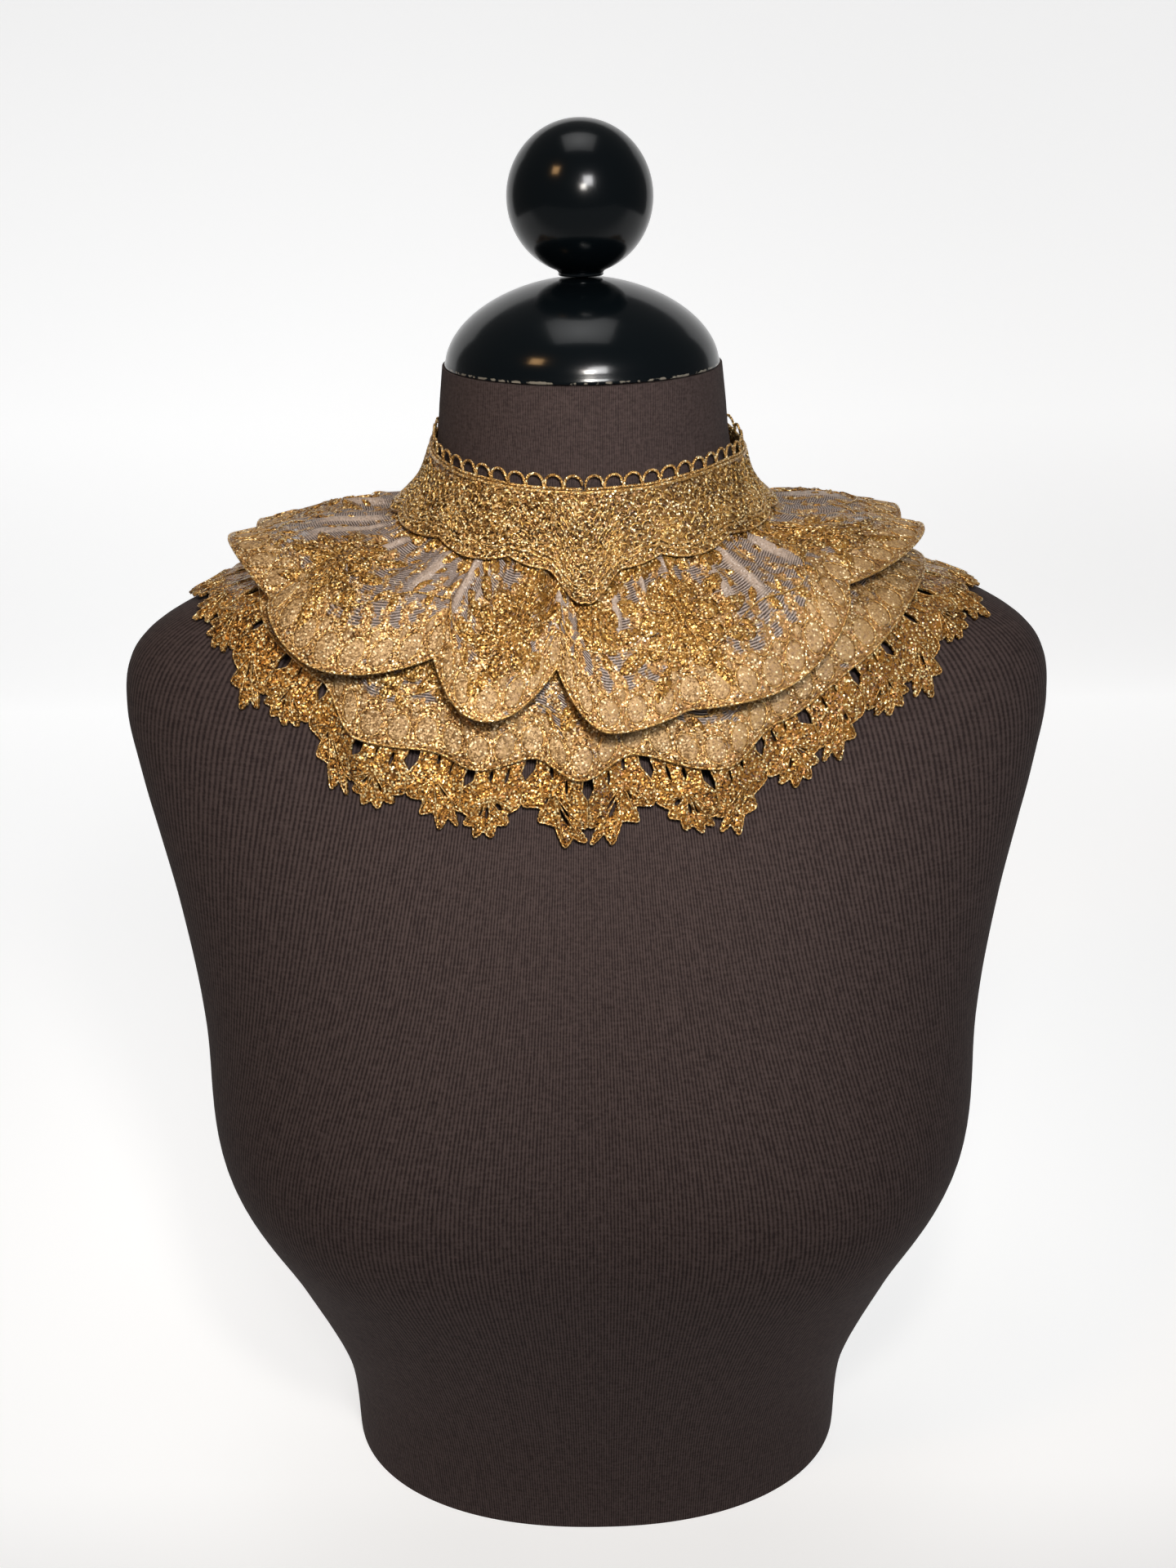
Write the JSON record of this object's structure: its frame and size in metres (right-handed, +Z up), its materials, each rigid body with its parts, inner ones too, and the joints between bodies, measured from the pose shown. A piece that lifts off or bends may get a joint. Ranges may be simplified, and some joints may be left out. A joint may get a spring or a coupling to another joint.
{
  "type": "lace neckpiece on a limbless dress form",
  "caption": "Stand-up metallic lace neckband with a loop edging, two gathered lace ruffles and a leaf-shaped edging, resting on a limbless dress form with a domed cap and a ball.",
  "frame": {"origin": "centre of the dress form's flat base", "axes": "+Z up through the neck and the ball, the front of the neckpiece towards -Y"},
  "size_m": [0.388, 0.2454, 0.5813],
  "materials": {
    "ribbed_jersey": "matt brown-black fine-ribbed jersey",
    "black_lacquer": "gloss black lacquer",
    "gold_band_lace": "dense glittering gold metallic lace",
    "gold_tulle_lace": "tulle embroidered in gold and champagne metallic thread",
    "gold_guipure": "gold metallic guipure lace",
    "brass_wire": "bright wire"
  },
  "bodies": {
    "root": {"dress_form": "ribbed_jersey", "neck_cap": "black_lacquer", "ball_finial": "black_lacquer", "neckband": "gold_band_lace", "loop_edging_left": "gold_band_lace", "loop_edging_right": "gold_band_lace", "upper_ruffle": "gold_tulle_lace", "lower_ruffle": "gold_tulle_lace", "leaf_edging_left": "gold_guipure", "leaf_edging_right": "gold_guipure", "hook_1": "brass_wire", "hook_2": "brass_wire"}
  },
  "joints": []
}
